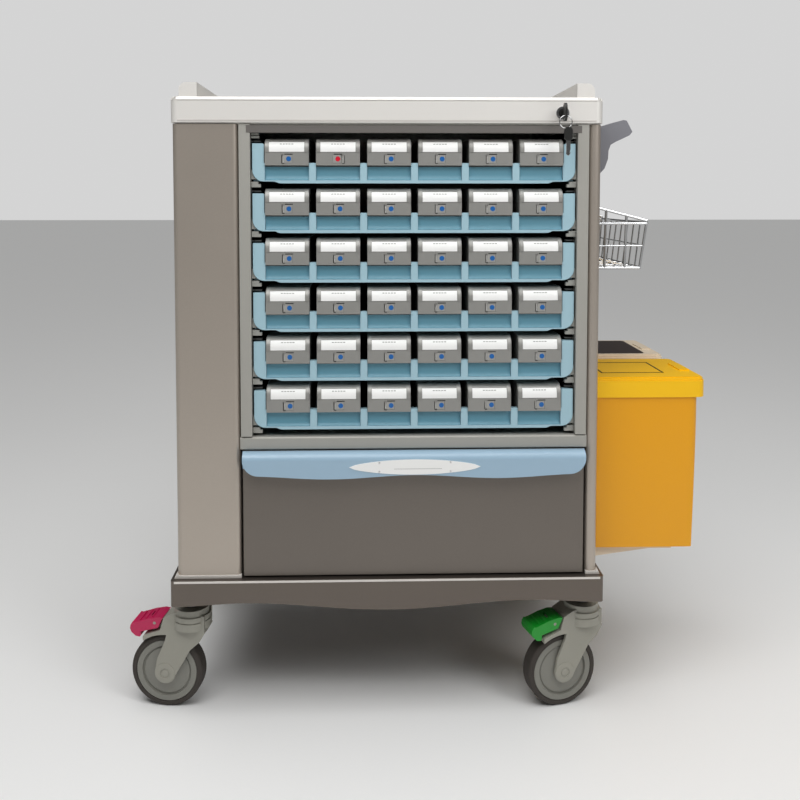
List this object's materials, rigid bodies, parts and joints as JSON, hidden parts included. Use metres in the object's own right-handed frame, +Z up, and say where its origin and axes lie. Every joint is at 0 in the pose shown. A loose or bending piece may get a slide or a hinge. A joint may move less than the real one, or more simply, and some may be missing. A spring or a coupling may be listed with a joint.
{
  "type": "medication trolley",
  "caption": "Hospital medication trolley on swivel casters, with pull-out trays of lidded cassettes over a deep drawer, a railed worktop, push handle, wire basket and lidded waste bins.",
  "frame": {"origin": "on the floor, in the middle of the whole trolley's footprint box, with its side bins and front key", "axes": "+Z up, -Y out of the front where the trays and the drawer open, +X towards the side with the handle, basket and bins"},
  "size_m": [0.9838, 0.543, 1.05],
  "materials": {
    "worktop": "satin moulded ABS",
    "rail": "satin moulded ABS",
    "post": "metallic-painted moulding",
    "panel": "powder coat with a metallic fleck",
    "frame": "powder coat",
    "base": "metallic-painted moulding",
    "stem": "zinc plated",
    "runner": "moulded",
    "drawer_steel": "powder coat",
    "handle": "fine moulded texture",
    "wire": "polished wire",
    "shelf": "powder coat",
    "lock_metal": "polished",
    "key_plastic": "moulded",
    "tray": "moulded ABS",
    "cassette": "moulded",
    "slide": "moulded",
    "drawer_paint": "metallic paint",
    "pull": "moulded ABS",
    "card": "printed card",
    "yellow": "moulded polypropylene",
    "cream": "moulded polypropylene",
    "fork": "moulded nylon",
    "rim": "moulded nylon",
    "tyre": "soft rubber",
    "brake": "moulded nylon",
    "green": "moulded nylon"
  },
  "bodies": {
    "cabinet": {"top_cover": "worktop", "guard_rail": "rail", "left_post": "post", "right_post": "post", "rear_posts": "post", "wall_panels": "panel", "bay_frame": "frame", "divider_shelf": "frame", "base_skirt": "base", "base_deck": "base", "caster_stems": "stem", "tray_runners": "runner", "drawer_rails": "drawer_steel", "push_handle": "handle", "wire_basket": "wire", "bin_shelf": "shelf", "lock_barrel": "lock_metal"},
    "key": {"key": "key_plastic"},
    "key_ring": {"key_ring": "lock_metal"},
    "drawer": {"drawer_box": "drawer_steel", "drawer_front": "drawer_paint", "drawer_pull": "pull", "label_card": "card"},
    "sharps_bin": {"sharps_bin": "yellow"},
    "sharps_lid": {"sharps_lid": "yellow"},
    "waste_bin": {"waste_bin": "cream"},
    "waste_lid": {"waste_lid": "cream"},
    "brake_pedal": {"brake_pedal": "brake"},
    "lock_pedal": {"lock_pedal": "green"},
    "slide_used": {"slide_used": "slide"},
    "tray_1": {"tray_1": "tray", "cassettes_1": "cassette"},
    "slides_1": {"slides_1": "slide"},
    "tray_2": {"tray_2": "tray", "cassettes_2": "cassette"},
    "slides_2": {"slides_2": "slide"},
    "tray_3": {"tray_3": "tray", "cassettes_3": "cassette"},
    "slides_3": {"slides_3": "slide"},
    "tray_4": {"tray_4": "tray", "cassettes_4": "cassette"},
    "slides_4": {"slides_4": "slide"},
    "tray_5": {"tray_5": "tray", "cassettes_5": "cassette"},
    "slides_5": {"slides_5": "slide"},
    "tray_6": {"tray_6": "tray", "cassettes_6": "cassette"},
    "slides_6": {"slides_6": "slide"},
    "fork_1": {"fork_1": "fork"},
    "wheel_1": {"wheel_1": "rim", "tyre_1": "tyre"},
    "fork_2": {"fork_2": "fork"},
    "wheel_2": {"wheel_2": "rim", "tyre_2": "tyre"},
    "fork_3": {"fork_3": "fork"},
    "wheel_3": {"wheel_3": "rim", "tyre_3": "tyre"},
    "fork_4": {"fork_4": "fork"},
    "wheel_4": {"wheel_4": "rim", "tyre_4": "tyre"}
  },
  "joints": [
    {"name": "tray_1_slide", "type": "slide", "parent": "cabinet", "child": "tray_1", "axis": [0, -1, 0], "range_m": [0, 0.36]},
    {"name": "status_1_slide", "type": "slide", "parent": "tray_1", "child": "slides_1", "axis": [-1, 0, 0], "range_m": [0, 0.0035]},
    {"name": "tray_2_slide", "type": "slide", "parent": "cabinet", "child": "tray_2", "axis": [0, -1, 0], "range_m": [0, 0.36]},
    {"name": "status_2_slide", "type": "slide", "parent": "tray_2", "child": "slides_2", "axis": [-1, 0, 0], "range_m": [0, 0.0035]},
    {"name": "tray_3_slide", "type": "slide", "parent": "cabinet", "child": "tray_3", "axis": [0, -1, 0], "range_m": [0, 0.36]},
    {"name": "status_3_slide", "type": "slide", "parent": "tray_3", "child": "slides_3", "axis": [-1, 0, 0], "range_m": [0, 0.0035]},
    {"name": "tray_4_slide", "type": "slide", "parent": "cabinet", "child": "tray_4", "axis": [0, -1, 0], "range_m": [0, 0.36]},
    {"name": "status_4_slide", "type": "slide", "parent": "tray_4", "child": "slides_4", "axis": [-1, 0, 0], "range_m": [0, 0.0035]},
    {"name": "tray_5_slide", "type": "slide", "parent": "cabinet", "child": "tray_5", "axis": [0, -1, 0], "range_m": [0, 0.36]},
    {"name": "status_5_slide", "type": "slide", "parent": "tray_5", "child": "slides_5", "axis": [-1, 0, 0], "range_m": [0, 0.0035]},
    {"name": "tray_6_slide", "type": "slide", "parent": "cabinet", "child": "tray_6", "axis": [0, -1, 0], "range_m": [0, 0.36]},
    {"name": "status_6_slide", "type": "slide", "parent": "tray_6", "child": "slides_6", "axis": [-1, 0, 0], "range_m": [0, 0.0035]},
    {"name": "used_status_slide", "type": "slide", "parent": "tray_6", "child": "slide_used", "axis": [1, 0, 0], "range_m": [0, 0.0035]},
    {"name": "drawer_slide", "type": "slide", "parent": "cabinet", "child": "drawer", "axis": [0, -1, 0], "range_m": [0, 0.38]},
    {"name": "key_turn", "type": "hinge", "parent": "cabinet", "child": "key", "pos_m": [0.22725, -0.245, 1.001], "axis": [0, 1, 0], "range_deg": [0, 90]},
    {"name": "ring_swing", "type": "hinge", "parent": "key", "child": "key_ring", "pos_m": [0.22725, -0.267, 0.995], "axis": [0, 1, 0], "range_deg": [-40, 40]},
    {"name": "sharps_bin_lift", "type": "slide", "parent": "cabinet", "child": "sharps_bin", "axis": [0, 0, 1], "range_m": [0, 0.03]},
    {"name": "sharps_lid_hinge", "type": "hinge", "parent": "sharps_bin", "child": "sharps_lid", "pos_m": [0.29325, -0.098, 0.557], "axis": [0, -1, 0], "range_deg": [0, 50]},
    {"name": "waste_bin_lift", "type": "slide", "parent": "cabinet", "child": "waste_bin", "axis": [0, 0, 1], "range_m": [0, 0.03]},
    {"name": "waste_lid_hinge", "type": "hinge", "parent": "waste_bin", "child": "waste_lid", "pos_m": [0.29325, 0.119, 0.557], "axis": [0, -1, 0], "range_deg": [0, 50]},
    {"name": "caster_1_swivel", "type": "hinge", "parent": "cabinet", "child": "fork_1", "pos_m": [-0.38775, -0.1935, 0.173], "axis": [0, 0, 1], "continuous": true},
    {"name": "wheel_1_spin", "type": "hinge", "parent": "fork_1", "child": "wheel_1", "pos_m": [-0.42835, -0.18779, 0.062], "axis": [0.1392, 0.9903, 0], "continuous": true},
    {"name": "brake_press", "type": "hinge", "parent": "fork_1", "child": "brake_pedal", "pos_m": [-0.44618, -0.18529, 0.147], "axis": [-0.1392, -0.9903, 0], "range_deg": [0, 4]},
    {"name": "caster_2_swivel", "type": "hinge", "parent": "cabinet", "child": "fork_2", "pos_m": [0.27825, -0.1935, 0.173], "axis": [0, 0, 1], "continuous": true},
    {"name": "wheel_2_spin", "type": "hinge", "parent": "fork_2", "child": "wheel_2", "pos_m": [0.23865, -0.20411, 0.062], "axis": [-0.2588, 0.9659, 0], "continuous": true},
    {"name": "direction_lock_press", "type": "hinge", "parent": "fork_2", "child": "lock_pedal", "pos_m": [0.22126, -0.20877, 0.147], "axis": [0.2588, -0.9659, 0], "range_deg": [0, 4]},
    {"name": "caster_3_swivel", "type": "hinge", "parent": "cabinet", "child": "fork_3", "pos_m": [-0.38775, 0.2165, 0.173], "axis": [0, 0, 1], "continuous": true},
    {"name": "wheel_3_spin", "type": "hinge", "parent": "fork_3", "child": "wheel_3", "pos_m": [-0.42785, 0.20798, 0.062], "axis": [-0.2079, 0.9781, 0], "continuous": true},
    {"name": "caster_4_swivel", "type": "hinge", "parent": "cabinet", "child": "fork_4", "pos_m": [0.27825, 0.2165, 0.173], "axis": [0, 0, 1], "continuous": true},
    {"name": "wheel_4_spin", "type": "hinge", "parent": "fork_4", "child": "wheel_4", "pos_m": [0.23787, 0.22362, 0.062], "axis": [0.1736, 0.9848, 0], "continuous": true}
  ]
}
